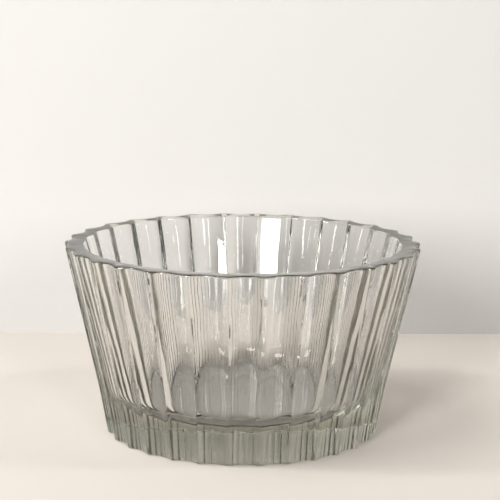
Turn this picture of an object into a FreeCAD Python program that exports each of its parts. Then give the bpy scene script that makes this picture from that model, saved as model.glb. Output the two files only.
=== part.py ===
import FreeCAD, Part
import os
import Sketcher

# A clear pressed glass bowl for a floating candle: a fluted, flared wall on a thick solid base.
# Millimetres, +Z up, origin at the centre of the face that it rests on, one flute facing -Y.

doc = FreeCAD.newDocument("candle_bowl")

# Driving dimensions
SIZES = (
    ("bowl_height", 64.0, "from the resting face to the top of the rim"),
    ("rim_diameter", 120.0, "across the ridge crests at the rim"),
    ("rim_width", 6.7, "from the ridge crests at the rim in to the mouth"),
    ("wall_flare", 11.0, "how far the crests lean out from the heel up to the rim"),
    ("heel_height", 15.6, "height at which the wall starts to flare more"),
    ("heel_flare", 2.9, "how far the crests lean out from the foot up to the heel"),
    ("flute_count", 30.0, "flutes round the outside"),
    ("flute_depth_at_rim", 1.9, "how far a flute lies inside the ridge crests at the rim"),
    ("flute_depth_at_foot", 1.4, "how far a flute lies inside the ridge crests at the foot"),
    ("ridge_width_at_foot", 0.5, "what two flutes leave between them at the foot"),
    ("crest_radius", 0.8, "rounding along both edges of each ridge"),
    ("floor_inset", 8.1, "from the crests at the foot in to where wall and floor of the cavity meet"),
    ("floor_thickness", 11.5, "solid glass under the cavity floor"),
    ("floor_corner_radius", 8.0, "rounding between cavity floor and cavity wall"),
    ("rim_bevel", 0.5, "small bevel on the outer and inner edge of the rim"),
    ("cut_overrun", 3.0, "how far a cut runs past the glass"),
)

sheet = doc.addObject("Spreadsheet::Sheet", "sizes")
for row, (name, value, meaning) in enumerate(SIZES, start=1):
    sheet.set(f"A{row}", name)
    sheet.set(f"B{row}", str(value))
    sheet.set(f"C{row}", meaning)
    sheet.setAlias(f"B{row}", name)
doc.recompute()

# Radii that follow from the driving dimensions, as expressions on the sheet
crest_at_rim = "(sizes.rim_diameter / 2)"
crest_at_heel = f"({crest_at_rim} - sizes.wall_flare)"
crest_at_foot = f"({crest_at_heel} - sizes.heel_flare)"
mouth_radius = f"({crest_at_rim} - sizes.rim_width)"
floor_radius = f"({crest_at_foot} - sizes.floor_inset)"
wall_rise = "(sizes.bowl_height - sizes.heel_height)"


def origin_feature(body, role):
    """The body's own origin plane or axis of that role."""
    return next(item for item in body.Origin.OriginFeatures if item.Role == role)


def new_sketch(body, name, role, height=None):
    """A sketch on one of the body's origin planes, lifted by a height expression if one is given."""
    sketch = body.newObject("Sketcher::SketchObject", name)
    sketch.AttachmentSupport = [(origin_feature(body, role), "")]
    sketch.MapMode = "FlatFace"
    if height:
        sketch.setExpression("AttachmentOffset.Base.z", height)
    return sketch


def hold(sketch, kind, place, name, expression):
    """A distance, radius or diameter constraint that follows an expression on the sheet."""
    value = float(sketch.evalExpression(expression))
    index = sketch.addConstraint(Sketcher.Constraint(kind, *place, value))
    sketch.renameConstraint(index, name)
    sketch.setExpression(f"Constraints.{name}", expression)


def own_axis(direction):
    """The number by which a sketch knows its own axis."""
    return {"across": -1, "up": -2}[direction]


ORIGIN = (own_axis("across"), 1)


def outline(sketch, corners):
    """A closed outline of straight lines; each corner is a name and two expressions from the axes."""
    points = []
    for name, across, up in corners:
        x = float(sketch.evalExpression(across)) if across else 0
        y = float(sketch.evalExpression(up)) if up else 0
        points.append(FreeCAD.Vector(x, y, 0))
    count = len(points)
    lines = [
        sketch.addGeometry(Part.LineSegment(points[i], points[(i + 1) % count]), False)
        for i in range(count)
    ]
    for i in range(count):
        sketch.addConstraint(Sketcher.Constraint("Coincident", lines[i - 1], 2, lines[i], 1))
    for line, (name, across, up) in zip(lines, corners):
        if across:
            hold(sketch, "DistanceX", (*ORIGIN, line, 1), f"{name}_across", across)
        else:
            sketch.addConstraint(Sketcher.Constraint("PointOnObject", line, 1, own_axis("up")))
        if up:
            hold(sketch, "DistanceY", (*ORIGIN, line, 1), f"{name}_up", up)
        else:
            sketch.addConstraint(Sketcher.Constraint("PointOnObject", line, 1, own_axis("across")))


def turn(kind, name, corners):
    """Adds or cuts what an outline sweeps when it is turned once about the upright axis."""
    profile = new_sketch(bowl, f"{name}_profile", "YZ_Plane")
    outline(profile, corners)
    feature = bowl.newObject(f"PartDesign::{kind}", name)
    feature.Profile = profile
    feature.ReferenceAxis = (origin_feature(bowl, "Z_Axis"), [""])
    feature.Angle = 360
    doc.recompute()
    print(name, "leaves", round(feature.Shape.Volume / 1000, 1), "cm3")
    return feature


bowl = doc.addObject("PartDesign::Body", "bowl")
bowl.Label = "bowl"

# The smooth blank: the shape before it is fluted
blank = turn("Revolution", "blank", (
    ("base_centre", "", ""),
    ("foot_edge", crest_at_foot, ""),
    ("heel", crest_at_heel, "sizes.heel_height"),
    ("rim_edge", crest_at_rim, "sizes.bowl_height"),
    ("rim_centre", "", "sizes.bowl_height"),
))

# The flute radius at which neighbouring flutes leave the wanted ridge at the foot: an arc through
# both ridge edges and through the bottom of the flute
half_turn = f"(180 / sizes.flute_count - 90 / pi * sizes.ridge_width_at_foot / {crest_at_foot})"
half_width = f"({crest_at_foot} * sin({half_turn}))"
arc_height = f"(sizes.flute_depth_at_foot - {crest_at_foot} * (1 - cos({half_turn})))"
flute_radius = f"(({half_width}^2 + {arc_height}^2) / (2 * {arc_height}))"

# The roundings on both sides of a ridge meet on its crest if they are too big for it, and the ridge
# is narrowest at the foot, so they are kept to just under half of it there
crest_share = 0.995
crest_turn = f"(asin({half_width} / {flute_radius}) + {half_turn} * 1 deg)"
crest_limit = f"({crest_share} * sizes.ridge_width_at_foot / 2 / tan({crest_turn} / 2))"
crest_rounding = f"min(sizes.crest_radius; {crest_limit})"

# One flute: a round cutter of that radius that follows the foot, the heel and the rim. The ridges
# take up what it leaves, so they are broad at the rim and narrow at the foot.
heel_share = "(sizes.heel_flare / (sizes.heel_flare + sizes.wall_flare))"
depth_gain = "(sizes.flute_depth_at_rim - sizes.flute_depth_at_foot)"
depth_at_heel = f"(sizes.flute_depth_at_foot + {depth_gain} * {heel_share})"
centre_at_foot = f"({crest_at_foot} - sizes.flute_depth_at_foot + {flute_radius})"
centre_at_heel = f"({crest_at_heel} - {depth_at_heel} + {flute_radius})"
centre_at_rim = f"({crest_at_rim} - sizes.flute_depth_at_rim + {flute_radius})"


def beyond(end, inner, rise):
    """The value at an end, carried on past it along the straight line from the inner level."""
    return f"({end} + ({end} - {inner}) * sizes.cut_overrun / {rise})"


# The section half way up the wall splits its long faces in two
FLUTE_SECTIONS = (
    ("below_foot", "-sizes.cut_overrun", beyond(centre_at_foot, centre_at_heel, "sizes.heel_height")),
    ("at_heel", "sizes.heel_height", centre_at_heel),
    ("half_way", f"(sizes.heel_height + {wall_rise} / 2)", f"(({centre_at_heel} + {centre_at_rim}) / 2)"),
    ("above_rim", "sizes.bowl_height + sizes.cut_overrun",
     beyond(centre_at_rim, centre_at_heel, wall_rise)),
)
flute_sections = []
for name, height, centre in FLUTE_SECTIONS:
    section = new_sketch(bowl, f"flute_{name}", "XY_Plane", height)
    distance = float(section.evalExpression(centre))
    radius = float(section.evalExpression(flute_radius))
    circle = section.addGeometry(
        Part.Circle(FreeCAD.Vector(0, -distance, 0), FreeCAD.Vector(0, 0, 1), radius), False)
    section.addConstraint(Sketcher.Constraint("PointOnObject", circle, 3, own_axis("up")))
    hold(section, "DistanceY", (circle, 3, *ORIGIN), "centre", centre)
    hold(section, "Radius", (circle,), "radius", flute_radius)
    flute_sections.append(section)
doc.recompute()
print("flute radius", round(radius, 2), "mm")

flute = bowl.newObject("PartDesign::SubtractiveLoft", "flute")
flute.Profile = flute_sections[0]
flute.Sections = flute_sections[1:]
flute.Ruled = True
doc.recompute()
print("one flute removes", round(blank.Shape.Volume - flute.Shape.Volume, 1), "mm3")

flutes = bowl.newObject("PartDesign::PolarPattern", "flutes")
flutes.Originals = [flute]
flutes.Axis = (origin_feature(bowl, "Z_Axis"), [""])
flutes.Angle = 360
flutes.setExpression("Occurrences", "sizes.flute_count")
bowl.Tip = flutes
doc.recompute()
print("all flutes remove", round(blank.Shape.Volume - flutes.Shape.Volume, 1), "mm3")


def soften(kind, name, base, wanted, size):
    """A fillet or a small bevel on the edges of the last feature that pass a test."""
    numbers = [f"Edge{i}" for i, edge in enumerate(base.Shape.Edges, start=1) if wanted(edge)]
    feature = bowl.newObject(f"PartDesign::{kind}", name)
    feature.Base = (base, numbers)
    feature.setExpression(SIZE_OF[kind], size)
    bowl.Tip = feature
    doc.recompute()
    print(name, "softens", len(numbers), "edges")
    return feature


SIZE_OF = {"Fillet": "Radius", "Chamfer": "Size"}
same_place = 1e-4
rim_level = float(sheet.bowl_height)
floor_level = float(sheet.floor_thickness)


def climbs(edge):
    return edge.BoundBox.ZLength > same_place


def lies_at(edge, height):
    return not climbs(edge) and abs(edge.BoundBox.ZMin - height) < same_place


def is_ring(edge, height, radius):
    box = edge.BoundBox
    round_about = abs(box.XLength - 2 * radius) < same_place and abs(box.YLength - 2 * radius) < same_place
    return lies_at(edge, height) and round_about


# Glass from a mould has no sharp edges: both sides of every ridge and the outer edge of the rim
crests = soften("Fillet", "crests", flutes, climbs, crest_rounding)
rim_edge = soften("Chamfer", "rim_edge", crests, lambda edge: lies_at(edge, rim_level), "sizes.rim_bevel")

# The cavity that the plunger leaves: a straight flared wall down to a flat floor
cavity_rise = "(sizes.bowl_height - sizes.floor_thickness)"
cavity = turn("Groove", "cavity", (
    ("floor_centre", "", "sizes.floor_thickness"),
    ("floor_edge", floor_radius, "sizes.floor_thickness"),
    ("above_mouth", beyond(mouth_radius, floor_radius, cavity_rise), "sizes.bowl_height + sizes.cut_overrun"),
    ("above_centre", "", "sizes.bowl_height + sizes.cut_overrun"),
))
floor_corner = soften(
    "Fillet", "floor_corner", cavity,
    lambda edge: is_ring(edge, floor_level, float(cavity.evalExpression(floor_radius))),
    "sizes.floor_corner_radius")
mouth_edge = soften(
    "Chamfer", "mouth_edge", floor_corner,
    lambda edge: is_ring(edge, rim_level, float(cavity.evalExpression(mouth_radius))),
    "sizes.rim_bevel")

# Every object has to be sound before anything is written
for item in doc.Objects:
    if "Invalid" in item.State or "Error" in item.State:
        raise RuntimeError(f"{item.Name} did not build: {item.State}")

os.makedirs("parts", exist_ok=True)
shape = bowl.Shape
if shape.isNull() or not shape.isValid() or len(shape.Solids) != 1:
    raise RuntimeError(f"{bowl.Label} is not one valid solid")
shape.exportStep(f"parts/{bowl.Label}.step")
box = shape.optimalBoundingBox(False)
print(bowl.Label, "is", round(box.XLength, 2), "x", round(box.YLength, 2), "x", round(box.ZLength, 2),
      "mm,", round(shape.Volume / 1000, 1), "cm3,", len(shape.Faces), "faces")
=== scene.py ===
# %% [markdown]
# A pressed glass bowl for a floating candle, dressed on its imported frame.
# The object is one piece of clear glass: thirty upright flutes outside, a smooth flared wall inside
# and a thick solid base. It could be made by dropping a gob of hot glass into a fluted iron mould
# and pressing a smooth plunger into it. The mould gives the outside its flutes and the plunger
# leaves the turned inside. A flame then softens the edges and gives the surface its polish.
# Clear glass has almost no colour of its own. What shows is light bent by its two skins, so the
# lesson is first about the exact form of those skins, then about small faults in the surface, and
# last about what stands around the bowl for the glass to bend.

# %% The frame comes first
import math

import bmesh
import bpy
from mathutils import Matrix, Vector


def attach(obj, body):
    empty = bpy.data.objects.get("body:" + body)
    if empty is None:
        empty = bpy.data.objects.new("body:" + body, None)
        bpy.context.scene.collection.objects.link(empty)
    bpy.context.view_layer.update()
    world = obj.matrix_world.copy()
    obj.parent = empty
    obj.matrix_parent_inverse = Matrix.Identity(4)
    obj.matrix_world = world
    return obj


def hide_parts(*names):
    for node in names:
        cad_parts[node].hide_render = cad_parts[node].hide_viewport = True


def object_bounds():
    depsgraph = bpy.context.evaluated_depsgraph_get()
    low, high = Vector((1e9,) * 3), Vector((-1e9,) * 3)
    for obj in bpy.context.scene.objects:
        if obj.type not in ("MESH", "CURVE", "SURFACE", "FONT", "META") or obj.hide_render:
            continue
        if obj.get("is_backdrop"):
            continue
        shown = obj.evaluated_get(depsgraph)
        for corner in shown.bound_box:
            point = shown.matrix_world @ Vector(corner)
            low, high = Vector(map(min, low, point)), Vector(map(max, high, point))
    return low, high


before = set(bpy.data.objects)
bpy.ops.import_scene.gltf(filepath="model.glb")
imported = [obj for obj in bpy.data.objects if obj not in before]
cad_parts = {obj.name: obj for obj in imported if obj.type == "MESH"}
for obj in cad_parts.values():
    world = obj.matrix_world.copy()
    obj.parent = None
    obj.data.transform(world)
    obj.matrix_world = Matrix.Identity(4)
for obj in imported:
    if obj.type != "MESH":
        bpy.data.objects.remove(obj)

mm = 0.001
frame_low, frame_high = (Vector(corner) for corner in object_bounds())
rim_height = frame_high.z


def in_mm(lengths):
    """Lengths in millimetres, rounded for a printed line."""
    return [round(length / mm, 2) for length in lengths]


print("the packed frame runs from", in_mm(frame_low), "to", in_mm(frame_high), "mm")

# %% [markdown]
# Sizes of the glass, in metres. Foot, heel and rim are measured across the crests of the ridges.
# The heel is the level at which the wall starts to flare more. One hollow radius serves every flute
# from foot to rim. It follows from how deep the flutes are at the foot and from the ridge that two
# of them leave there, and higher up the ridges get broader because the bowl does.

# %% Sizes of the glass
rim_radius = 60.0 * mm
heel_radius = 49.0 * mm
heel_height = 15.6 * mm
foot_radius = 46.1 * mm
flute_count = 30
flute_depth_at_rim = 1.9 * mm
flute_depth_at_foot = 1.4 * mm
ridge_width_at_foot = 0.5 * mm
crest_rounding = 0.8 * mm
mouth_radius = 53.3 * mm
floor_radius = 38.0 * mm
floor_height = 11.5 * mm
floor_corner = 8.0 * mm
edge_rounding = 0.52 * mm

up = Vector((0, 0, 1))
across = Vector((1, 0, 0))
centre = Vector((0, 0, 0))
half_period = math.pi / flute_count

half_turn = half_period - ridge_width_at_foot / foot_radius / 2
half_width = foot_radius * math.sin(half_turn)
arc_height = flute_depth_at_foot - foot_radius * (1 - math.cos(half_turn))
flute_hollow = (half_width ** 2 + arc_height ** 2) / (2 * arc_height)
print("hollow radius of a flute", round(flute_hollow / mm, 2), "mm")

# %% [markdown]
# The outline of the fluted wall seen from above. One flute is a hollow arc, a small rounding and
# a stretch of ridge. A point that is spun about a centre leaves an arc behind it, so three spins
# draw half a flute, a mirror makes it whole, and a spin with copies sets thirty round the bowl.
# The rounding touches both the hollow and the ridge, so its centre lies at a known distance from
# the bowl's axis and from the flute's centre, and the law of cosines gives both angles.

# %% One flute outline, spun from a single point
hollow_steps = 12
rounding_steps = 4
ridge_steps = 2
weld = 1e-6


def last_point(result):
    """The point at which a spin ended."""
    return next(item for item in result["geom_last"] if isinstance(item, bmesh.types.BMVert))


def sweep(bm, point, about, angle, steps, axis=up):
    """Spins a point, keeps the arc that it draws and returns the arc's far end."""
    return last_point(bmesh.ops.spin(bm, geom=[point], cent=about, axis=axis, angle=angle,
                                     steps=steps, use_merge=False, use_duplicate=False))


def crest_at(height):
    """Crest radius of the outside at a height: two straight tapers that meet at the heel."""
    if height < heel_height:
        return foot_radius + (heel_radius - foot_radius) * height / heel_height
    share = (height - heel_height) / (rim_height - heel_height)
    return heel_radius + (rim_radius - heel_radius) * share


def corner_angle(near, far, opposite):
    """The angle between two sides of a triangle whose three sides are known."""
    return math.acos((near ** 2 + far ** 2 - opposite ** 2) / (2 * near * far))


def fluted_outline(height):
    """The closed outline of the wall at one height, as a small mesh of its own."""
    crest = crest_at(height)
    share = (crest - foot_radius) / (rim_radius - foot_radius)
    depth = flute_depth_at_foot + (flute_depth_at_rim - flute_depth_at_foot) * share
    flute_centre = crest - depth + flute_hollow
    to_rounding = crest - crest_rounding
    between = flute_hollow + crest_rounding
    turn_at_axis = corner_angle(to_rounding, flute_centre, between)
    turn_at_flute = corner_angle(flute_centre, between, to_rounding)
    lift = up * height
    rounding_centre = Vector((math.sin(turn_at_axis), -math.cos(turn_at_axis), 0)) * to_rounding
    bm = bmesh.new()
    point = bm.verts.new(Vector((0, depth - crest, height)))
    point = sweep(bm, point, Vector((0, -flute_centre, height)), -turn_at_flute, hollow_steps)
    point = sweep(bm, point, rounding_centre + lift, turn_at_axis + turn_at_flute, rounding_steps)
    sweep(bm, point, lift, half_period - turn_at_axis, ridge_steps)
    bmesh.ops.mirror(bm, geom=bm.verts[:] + bm.edges[:], matrix=Matrix.Identity(4),
                     merge_dist=weld, axis="X")
    bmesh.ops.spin(bm, geom=bm.verts[:] + bm.edges[:], cent=lift, axis=up,
                   angle=2 * half_period * (flute_count - 1), steps=flute_count - 1,
                   use_merge=False, use_duplicate=True)
    bmesh.ops.remove_doubles(bm, verts=bm.verts[:], dist=weld)
    return bm


print("crest radius at foot, heel and rim",
      in_mm(crest_at(height) for height in (0, heel_height, rim_height)), "mm")

# %% [markdown]
# The outside skin. An outline is drawn at every level and each is bridged to the next. The wall
# bends a little at the heel, so that level has a close neighbour on each side. They keep the smooth
# shading of the bend from spreading over the straight glass.

# %% The outside skin, raised level by level
heel_margin = 0.7 * mm
edge_margin = 1.0 * mm


def join(bm, other):
    """Copies another bmesh into this one by way of a passing mesh."""
    passing = bpy.data.meshes.new("passing")
    other.to_mesh(passing)
    bm.from_mesh(passing)
    bpy.data.meshes.remove(passing)
    other.free()


def lies_at(vert, height):
    """Whether a point lies at a height."""
    return abs(vert.co.z - height) < weld


def level_edges(bm, height):
    """The edges that run round the bowl at a height."""
    return [edge for edge in bm.edges if all(lies_at(vert, height) for vert in edge.verts)]


levels = [0, edge_margin, heel_height - heel_margin, heel_height, heel_height + heel_margin,
          rim_height - edge_margin, rim_height]
bm = bmesh.new()
for level in levels:
    join(bm, fluted_outline(level))
points_round = len(level_edges(bm, 0))
for below, above in zip(levels, levels[1:]):
    bmesh.ops.bridge_loops(bm, edges=level_edges(bm, below) + level_edges(bm, above))
print("the outside skin has", points_round, "points round on", len(levels), "levels")

# %% [markdown]
# The inside skin is what the plunger leaves. It is turned, not fluted, so it is a profile spun
# about the axis: down the wall, round the corner and in over the floor to the centre. The corner
# is an arc that touches wall and floor. Its reach along both follows from the slope of the wall.
# The spin has as many steps as the outside has points, so both skins meet point to point at the rim.

# %% The inside skin, spun from a profile
corner_steps = 12
slope = math.atan2(mouth_radius - floor_radius, rim_height - floor_height)
corner_turn = math.pi / 2 - slope
corner_reach = floor_corner * math.tan(corner_turn / 2)
wall_run = Vector((0, -math.sin(slope), math.cos(slope)))
corner_start = Vector((0, -floor_radius, floor_height)) + wall_run * corner_reach
corner_centre = Vector((0, -floor_radius + corner_reach, floor_height + floor_corner))


def grow(bm, point, target):
    """Extrudes a point to a target and returns the new point."""
    grown = bmesh.ops.extrude_vert_indiv(bm, verts=[point])["verts"][0]
    bmesh.ops.translate(bm, vec=Vector(target) - grown.co, verts=[grown])
    return grown


def turned(bm):
    """Spins an open profile once about the bowl's axis and welds the seam and the centre."""
    bmesh.ops.spin(bm, geom=bm.verts[:] + bm.edges[:], cent=centre, axis=up, angle=2 * math.pi,
                   steps=points_round, use_merge=True, use_duplicate=False)
    bmesh.ops.remove_doubles(bm, verts=bm.verts[:], dist=weld)
    return bm


cavity = bmesh.new()
mouth_point = Vector((0, -mouth_radius, rim_height))
point = cavity.verts.new(mouth_point)
point = grow(cavity, point, mouth_point - wall_run * edge_margin)
point = grow(cavity, point, corner_start + wall_run * edge_margin)
point = grow(cavity, point, corner_start)
point = sweep(cavity, point, corner_centre, corner_turn, corner_steps, axis=across)
print("the flat floor is", round(-2 * point.co.y / mm, 1), "mm across")
point = grow(cavity, point, point.co + Vector((0, edge_margin, 0)))
grow(cavity, point, (0, 0, floor_height))
join(bm, turned(cavity))

# %% [markdown]
# The underside is not seen in the photograph. It is kept flat, which is the plainest base for such
# a bowl: with a flat one, two wavy lines run through the base as in the photograph, and a recess
# leaves only one. A disc is spun for it, and a band joins the disc to the fluted outline.

# %% The flat underside
pad_share = 0.85
pad_radius = foot_radius * pad_share
pad = bmesh.new()
point = pad.verts.new((0, -pad_radius, 0))
grow(pad, point, (0, 0, 0))
join(bm, turned(pad))
print("the skins together have", len(bm.faces), "faces")

# %% [markdown]
# Two open rings are left at the rim and two at the foot, each pair on one level. Bridging flat
# rings twists the band between them, so the inner ring is moved off its level for the bridging and
# then put back. The edges that a flame would have softened are then found by their angle and
# rounded with a true arc.

# %% Closing the shell and rounding its edges
shift = 5 * mm
rounding_segments = 4
sharp_angle = math.radians(45)
cubic_cm = (10 * mm) ** 3


def bridge_flat(bm, height, away):
    """Bridges the two open rings at one height."""
    gap = [edge for edge in level_edges(bm, height) if edge.is_boundary]
    radii = [vert.co.xy.length for edge in gap for vert in edge.verts]
    middle = (max(radii) + min(radii)) / 2
    inner = list({vert for edge in gap for vert in edge.verts if vert.co.xy.length < middle})
    bmesh.ops.translate(bm, vec=up * away, verts=inner)
    bmesh.ops.bridge_loops(bm, edges=gap)
    bmesh.ops.translate(bm, vec=up * -away, verts=inner)


bridge_flat(bm, rim_height, -shift)
bridge_flat(bm, 0, shift)
bmesh.ops.recalc_face_normals(bm, faces=bm.faces[:])

sharp = [edge for height in (0, rim_height) for edge in level_edges(bm, height)
         if edge.calc_face_angle() > sharp_angle]
bmesh.ops.bevel(bm, geom=sharp, offset=edge_rounding, offset_type="OFFSET",
                segments=rounding_segments, profile=0.5, affect="EDGES", material=-1,
                clamp_overlap=False, loop_slide=True)
for face in bm.faces:
    face.smooth = True
open_edges = sum(1 for edge in bm.edges if not edge.is_manifold)
print("rounded", len(sharp), "edges; open edges left:", open_edges)
print("glass", round(bm.calc_volume() / cubic_cm, 1), "cm3 in", len(bm.faces), "faces")

# %% [markdown]
# The mould and the plunger leave different surfaces, so the finish has to know which tool shaped
# each point. The inside wall is a straight taper. A point that lies further from the axis than the
# taper at its height, by more than a margin, is the mould's. That is written on the mesh as an
# attribute, which the material can read, so that one material serves both sides.

# %% Marking the side that the mould shaped
def inside_radius(height):
    """Radius of the straight inside wall at a height."""
    share = (height - floor_height) / (rim_height - floor_height)
    return floor_radius + (mouth_radius - floor_radius) * share


mould_side = bm.verts.layers.float.new("mould_side")
moulded = [vert for vert in bm.verts
           if vert.co.xy.length > inside_radius(vert.co.z) + edge_margin]
for vert in moulded:
    vert[mould_side] = 1.0
print("the mould shaped", len(moulded), "of", len(bm.verts), "points")

# %% [markdown]
# The finished shell becomes one object. It stays at the origin, unturned and unscaled, because its
# place is in its mesh. It rides on the frame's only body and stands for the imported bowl, which is
# hidden but keeps its weight and its contact with the table.

# %% The bowl as one object
glass_mesh = bpy.data.meshes.new("fluted_bowl")
bm.to_mesh(glass_mesh)
bm.free()
fluted_bowl = bpy.data.objects.new("fluted_bowl", glass_mesh)
bpy.context.scene.collection.objects.link(fluted_bowl)
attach(fluted_bowl, "root")
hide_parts("bowl")
print("fluted_bowl stands for bowl, with", len(glass_mesh.vertices), "points")

# %% [markdown]
# Shader sums are easier to read as sums. A Signal wraps the output of a node, and adding or
# multiplying it makes the Math or Vector Math node that does so. Every other node comes from one
# method, which takes the node's type, its settings and what goes into its sockets. A socket is
# called by its name, or by its number where several sockets of a node share a name.


# %% A small class for shader sums
class Signal:
    """The output of a shader node, ready for sums and for feeding to other nodes."""

    def __init__(self, socket):
        self.socket = socket
        self.tree = socket.id_data

    def node(self, kind, settings=None, inputs=None, output=0):
        """Adds a node beside this one. An input is a Signal to link or a plain value to keep."""
        made = self.tree.nodes.new(kind)
        for name, value in (settings or {}).items():
            setattr(made, name, value)
        for socket, value in (inputs or {}).items():
            if isinstance(value, Signal):
                self.tree.links.new(value.socket, made.inputs[socket])
            else:
                made.inputs[socket].default_value = value
        return Signal(made.outputs[output])

    def sum(self, operation, first, second):
        """Works on two vectors or two numbers, whichever this signal is."""
        kind = "ShaderNodeVectorMath" if self.socket.type == "VECTOR" else "ShaderNodeMath"
        return self.node(kind, {"operation": operation}, {0: first, 1: second})

    def __add__(self, other):
        return self.sum("ADD", self, other)

    def __radd__(self, other):
        return self.sum("ADD", other, self)

    def __sub__(self, other):
        return self.sum("SUBTRACT", self, other)

    def __rsub__(self, other):
        return self.sum("SUBTRACT", other, self)

    def __mul__(self, other):
        return self.sum("MULTIPLY", self, other)

    def __rmul__(self, other):
        return self.sum("MULTIPLY", other, self)

    def length(self):
        """How long a vector is, as a number."""
        return self.node("ShaderNodeVectorMath", {"operation": "LENGTH"}, {0: self}, output=1)

    def ramp(self, low, high, at_low=0.0, at_high=1.0):
        """Runs smoothly from one value to another while this signal goes from low to high."""
        return self.node("ShaderNodeMapRange", {"interpolation_type": "SMOOTHSTEP"},
                         {0: self, 1: low, 2: high, 3: at_low, 4: at_high})

    def noise(self, wavelength, detail):
        """Cloudy noise over a place, from 0 to 1, with its coarsest waves about this long."""
        return self.node("ShaderNodeTexNoise", None,
                         {"Vector": self, "Scale": 1 / wavelength, "Detail": detail})

    def blend(self, low, high):
        """A colour that runs from one to the other as this signal runs from 0 to 1."""
        return self.node("ShaderNodeMix", {"data_type": "RGBA"}, {0: self, 6: low, 7: high}, output=2)


# %% [markdown]
# The body of the glass. It bends light as soda glass does and lets all of it in. Its colour comes
# from its depth: it takes a little light out of every millimetre, the blue a touch faster than the
# rest, so the thin wall is clear and the thick base is a faintly warm grey. A tint on the surface
# would colour the thin wall as much as the base, so the loss is given to the volume.

# %% The body of the glass
glass_index = 1.52
loss_color = (0.71, 0.712, 0.665, 1)
loss_per_metre = 31.0
tested_depth = 10.0 * mm

material = bpy.data.materials.new("clear_glass")
material.use_nodes = True
glass_mesh.materials.append(material)
tree = material.node_tree
shader = tree.nodes["Principled BSDF"]
shader.inputs["IOR"].default_value = glass_index
shader.inputs["Transmission Weight"].default_value = 1.0
loss = tree.nodes.new("ShaderNodeVolumeAbsorption")
loss.inputs["Color"].default_value = loss_color
loss.inputs["Density"].default_value = loss_per_metre
tree.links.new(loss.outputs["Volume"], tree.nodes["Material Output"].inputs["Volume"])

kept = [math.exp(-loss_per_metre * (1 - color) * tested_depth) for color in loss_color[:3]]
print("red, green and blue kept by", tested_depth / mm, "mm of glass:",
      [round(share, 3) for share in kept])

# %% [markdown]
# Waves from the mould. Pressed glass isn't true like a lens: the iron chills it in slow upright
# waves, and finer ripples lie over them. A perfect bowl would show mirror-sharp lines in its
# flutes, and these waves break them up. They are eight millimetres long and only tenths of a
# millimetre high, too shallow to be worth modelling, so they are a bump. The plunger's side keeps
# about a tenth of them, and the thick base, which cools slowly, about a third.

# %% Waves from the mould
wave_length = 8.0 * mm
wave_stretch = (1.0, 1.0, 0.5)
wave_detail = 1.0
wave_height = 0.48 * mm
ripple_length = 2.2 * mm
ripple_detail = 2.0
ripple_share = 0.08
plunger_share = 0.09
base_share = 0.30
base_reach = 2 * heel_height

place = Signal(tree.nodes.new("ShaderNodeTexCoord").outputs["Object"])
above_table = place.node("ShaderNodeSeparateXYZ", None, {0: place}, output=2)
waves = (place * wave_stretch).noise(wave_length, wave_detail)
relief = waves + ripple_share * place.noise(ripple_length, ripple_detail)
from_mould = place.node("ShaderNodeAttribute", {"attribute_name": "mould_side"}, output=2)
relief = relief * from_mould.ramp(0.0, 1.0, plunger_share, 1.0)
relief = relief * above_table.ramp(floor_height, base_reach, base_share, 1.0)
bump = relief.node("ShaderNodeBump", None,
                   {"Strength": 1.0, "Distance": wave_height, "Height": relief})
tree.links.new(bump.socket, shader.inputs["Normal"])
print("the waves take", len(tree.nodes), "nodes with the body's own")

# %% [markdown]
# Wear. A bowl that is pushed about on tables gets scuffed along the edge of its foot, where the
# polish is worn off in small patches. Inside, candles and pebbles dull the floor a little. Both are
# patches of noise kept to their place by ramps, and both go into the roughness, because worn glass
# scatters light but keeps its shape and colour.

# %% Scuffs at the foot and a dulled floor
scuff_height = 0.6 * mm
scuff_length = 0.9 * mm
scuff_detail = 4.0
scuff_patches = (0.45, 0.65)
scuff_roughness = 0.35
floor_band = 0.104 * mm
dull_detail = 3.0
dull_patches = (0.40, 0.70)
floor_roughness = 0.03
flattened = (1.0, 1.0, 0.0)

from_axis = (place * flattened).length()
at_foot = above_table.ramp(0.0, scuff_height, 1.0, 0.0) * from_axis.ramp(pad_radius, foot_radius)
scuffed = at_foot * place.noise(scuff_length, scuff_detail).ramp(*scuff_patches)
above_floor = above_table - floor_height
on_floor = (above_floor * above_floor).ramp(0.0, floor_band ** 2, 1.0, 0.0)
dulled = on_floor * place.noise(ripple_length, dull_detail).ramp(*dull_patches)
roughness = scuff_roughness * scuffed + floor_roughness * dulled
tree.links.new(roughness.socket, shader.inputs["Roughness"])
print("roughness is at most", scuff_roughness, "at the foot and", floor_roughness, "on the floor")

# %% [markdown]
# Dirt. A few dark grains cling low on the outside, where a cloth doesn't reach. A cell pattern has
# one centre in every cell, and what lies close to a centre is a grain. Coarse noise clears most of
# them away, so the rest lie in loose groups.

# %% Grains of dirt at the foot
clean_color = (1.0, 1.0, 1.0, 1)
grain_color = (0.10, 0.09, 0.08, 1)
grain_spacing = 5.0 * mm
grain_share = 0.05
grain_softness = 1.5
grain_level = 4.0 * mm
group_length = 2 * grain_spacing
group_detail = 0.0
group_patches = (0.50, 0.60)

cells = place.node("ShaderNodeTexVoronoi", None, {"Vector": place, "Scale": 1 / grain_spacing})
near_centre = cells.ramp(grain_share, grain_share * grain_softness, 1.0, 0.0)
grains = near_centre * above_table.ramp(0.0, grain_level, 1.0, 0.0)
grains = grains * place.noise(group_length, group_detail).ramp(*group_patches)
tree.links.new(grains.blend(clean_color, grain_color).socket, shader.inputs["Base Color"])
print("clear_glass has", len(tree.nodes), "nodes")

# %% [markdown]
# The stage is a pale table with a pale wall just behind the bowl. Both are flat panels with a dull
# finish. A panel grows from one point: the point is drawn out to an edge and the edge to a face,
# which is turned over if it looks the wrong way.

# %% A dull finish and a flat panel
stage_roughness = 0.8


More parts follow.
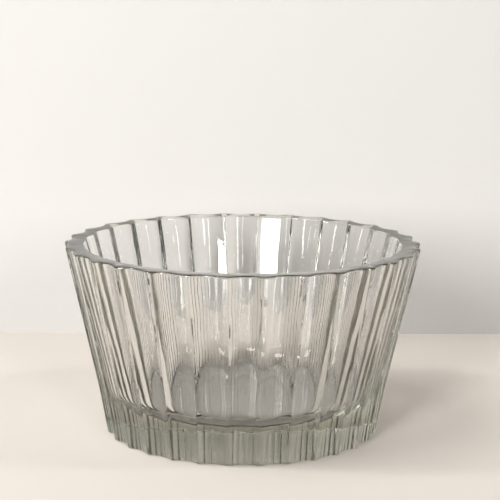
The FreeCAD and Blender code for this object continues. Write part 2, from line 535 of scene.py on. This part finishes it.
def plain(name, color):
    """A dull plain finish for the stage."""
    finish = bpy.data.materials.new(name)
    finish.use_nodes = True
    inputs = finish.node_tree.nodes["Principled BSDF"].inputs
    inputs["Base Color"].default_value = color
    inputs["Roughness"].default_value = stage_roughness
    return finish


def panel(name, half_width, near, far, facing, finish):
    """A flat panel as wide as told, between a near and a far edge given as (y, z)."""
    bm = bmesh.new()
    left = bm.verts.new((-half_width, *near))
    far_left = grow(bm, left, (-half_width, *far))
    bmesh.ops.extrude_edge_only(bm, edges=bm.edges[:])
    moved = [vert for vert in bm.verts if vert not in (left, far_left)]
    bmesh.ops.translate(bm, vec=across * 2 * half_width, verts=moved)
    bm.normal_update()
    bmesh.ops.reverse_faces(bm, faces=[face for face in bm.faces if face.normal.dot(facing) < 0])
    mesh = bpy.data.meshes.new(name)
    bm.to_mesh(mesh)
    bm.free()
    mesh.materials.append(finish)
    made = bpy.data.objects.new(name, mesh)
    bpy.context.scene.collection.objects.link(made)
    made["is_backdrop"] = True
    print(name, "is", 2 * half_width, "m wide")


# %% [markdown]
# The table. Glass shows its edges by the dark that it bends into view, so the table is pale only
# round the bowl. Further out its colour is painted darker, a painted shade like that of a floor the
# lamps don't reach. The pale patch is twice as long from side to side as from front to back. The
# table lies a hair below the bowl, so that glass and table never share a surface.

# %% The table
table_color = (0.50, 0.465, 0.425, 1)
# The dark grey that the table fades to far from the bowl is painted shade.
painted_shade_color = (0.15, 0.145, 0.14, 1)
table_half_width = 2.0
table_gap = 0.2 * mm
pale_stretch = (0.5, 1.0, 0.0)
pale_reach = 0.16
far_reach = 0.32

table_finish = plain("pale_table", table_color)
tree = table_finish.node_tree
table_place = Signal(tree.nodes.new("ShaderNodeTexCoord").outputs["Object"])
from_bowl = (table_place * pale_stretch).length()
# Painted shade: the table's colour darkens with distance from the bowl.
painted_shade_fade = from_bowl.ramp(pale_reach, far_reach).blend(table_color, painted_shade_color)
tree.links.new(painted_shade_fade.socket, tree.nodes["Principled BSDF"].inputs["Base Color"])
panel("pale_table", table_half_width, (-table_half_width, -table_gap), (table_half_width, -table_gap),
      up, table_finish)

# %% [markdown]
# The wall has one side. Its front is pale, and its back lets all light through. A viewer who stands
# behind it looks through its back, so that the bowl can be seen from all sides.

# %% The wall
wall_color = (0.49, 0.48, 0.465, 1)
wall_half_width = 0.60
wall_height = 0.45
wall_distance = 0.135
forward = Vector((0, 1, 0))

wall_finish = plain("pale_wall", wall_color)
tree = wall_finish.node_tree
behind = Signal(tree.nodes.new("ShaderNodeNewGeometry").outputs["Backfacing"])
front_side = Signal(tree.nodes["Principled BSDF"].outputs["BSDF"])
back_side = Signal(tree.nodes.new("ShaderNodeBsdfTransparent").outputs["BSDF"])
one_sided = behind.node("ShaderNodeMixShader", None, {0: behind, 1: front_side, 2: back_side})
tree.links.new(one_sided.socket, tree.nodes["Material Output"].inputs["Surface"])
panel("pale_wall", wall_half_width, (wall_distance, -table_gap), (wall_distance, wall_height),
      -forward, wall_finish)

# %% [markdown]
# The camera stands where the photograph was taken. Its place was fitted to the outlines of rim,
# heel and foot: nine rim radii away, looking down by a little over ten degrees. Its angles are in
# radians. The small phase turns the camera round the bowl so that the flutes fall where the
# photograph has them.

# %% The camera at the photograph's viewing angle
picture_pixels = 500
focal_pixels = 1629.2
sensor_width = 36.0
camera_distance = 9.0087 * rim_radius
camera_height = 2.7108 * rim_radius
pitch = 0.1855
yaw = 0.0045
roll = 0.0087
phase = 0.016

scene = bpy.context.scene
camera_data = bpy.data.cameras.new("camera")
camera_data.sensor_width = sensor_width
camera_data.lens = focal_pixels / picture_pixels * sensor_width
camera = bpy.data.objects.new("camera", camera_data)
scene.collection.objects.link(camera)
scene.camera = camera
camera.matrix_world = (Matrix.Rotation(-phase, 4, "Z")
                       @ Matrix.Translation((0, -camera_distance, camera_height))
                       @ Matrix.Rotation(-yaw, 4, "Z")
                       @ Matrix.Rotation(math.pi / 2 - pitch, 4, "X")
                       @ Matrix.Rotation(roll, 4, "Z"))
print("lens", round(camera_data.lens, 1), "mm")

# %% [markdown]
# The light. Two bright patches stand on the inside of the far wall. A mirror there shows what lies
# on the camera's side at twice the patch's own angle round the bowl, so the patches place two
# windows, a broad one to the left of the camera and a narrow one to its right, both low. A large
# soft light high on the left fills the table. Two small ones far out at both sides put short glints
# on the rim and the flutes there. Each light is given by its bearing from the camera's side, its
# height angle, its distance and its size.

# %% Two windows, a soft light and two spots
# name, bearing and height in degrees, distance, width and height in metres, watts
lights = (
    ("left_window", -24.0, 19.0, 1.1, 0.26, 0.40, 11.3),
    ("right_window", 17.0, 18.0, 1.1, 0.11, 0.28, 3.3),
    ("overhead", -60.0, 62.0, 1.2, 0.60, 0.60, 8.2),
    ("left_spot", -80.0, 46.0, 1.2, 0.14, 0.14, 3.2),
    ("right_spot", 75.0, 50.0, 1.2, 0.14, 0.14, 2.3),
)
light_color = (1.0, 0.99, 0.98)
aim = Vector((0, 0, rim_height / 2))


def place_at(bearing, elevation, distance):
    """The place at a bearing and a height angle, this far from the centre of the foot."""
    turn = math.radians(bearing)
    rise = math.radians(elevation)
    ground = math.cos(rise) * distance
    return Vector((math.sin(turn) * ground, -math.cos(turn) * ground, math.sin(rise) * distance))


for name, bearing, elevation, distance, width, tall, watts in lights:
    lamp_data = bpy.data.lights.new(name, "AREA")
    lamp_data.shape = "RECTANGLE"
    lamp_data.size = width
    lamp_data.size_y = tall
    lamp_data.energy = watts
    lamp_data.color = light_color
    lamp = bpy.data.objects.new(name, lamp_data)
    lamp.location = place_at(bearing, elevation, distance)
    lamp.rotation_euler = (aim - lamp.location).to_track_quat("-Z", "Y").to_euler()
    scene.collection.objects.link(lamp)
print(len(lights), "lights of", round(sum(light[-1] for light in lights), 1), "watts in all")

# %% [markdown]
# The room beyond the lights is nearly dark. Its faint glow is what the glass shows where it bends
# neither table, wall nor light into view, and it keeps those places from going black.

# %% The dark room
room_color = (0.95, 0.95, 1.0, 1)
room_strength = 0.04
world = bpy.data.worlds.new("dark_room")
world.use_nodes = True
background = world.node_tree.nodes["Background"]
background.inputs["Color"].default_value = room_color
background.inputs["Strength"].default_value = room_strength
scene.world = world
print("the room glows at", room_strength)

# %% [markdown]
# Light crosses many skins of glass before it leaves the bowl. Eight steps follow it through both
# walls and back. The little light that takes more would only lighten the darkest glass, which the
# photograph has darker still. The photograph also has deep darks and plain whites, as the Standard
# view transform gives them with a look of more contrast.

# %% Paths and tone
path_length = 8
scene.view_settings.view_transform = "Standard"
scene.view_settings.look = "Medium High Contrast"
scene.cycles.max_bounces = path_length
scene.cycles.transmission_bounces = path_length
scene.cycles.glossy_bounces = path_length
print("light is followed for", path_length, "steps")

# %% [markdown]
# The box of the dressed bowl is printed beside that of the imported frame, so that the two can be
# compared. The dressed bowl has to stay inside the box of the imported frame, because nothing here
# may change its size.

dressed_low, dressed_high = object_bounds()
print("the dressed bowl runs from", in_mm(dressed_low), "to", in_mm(dressed_high), "mm")
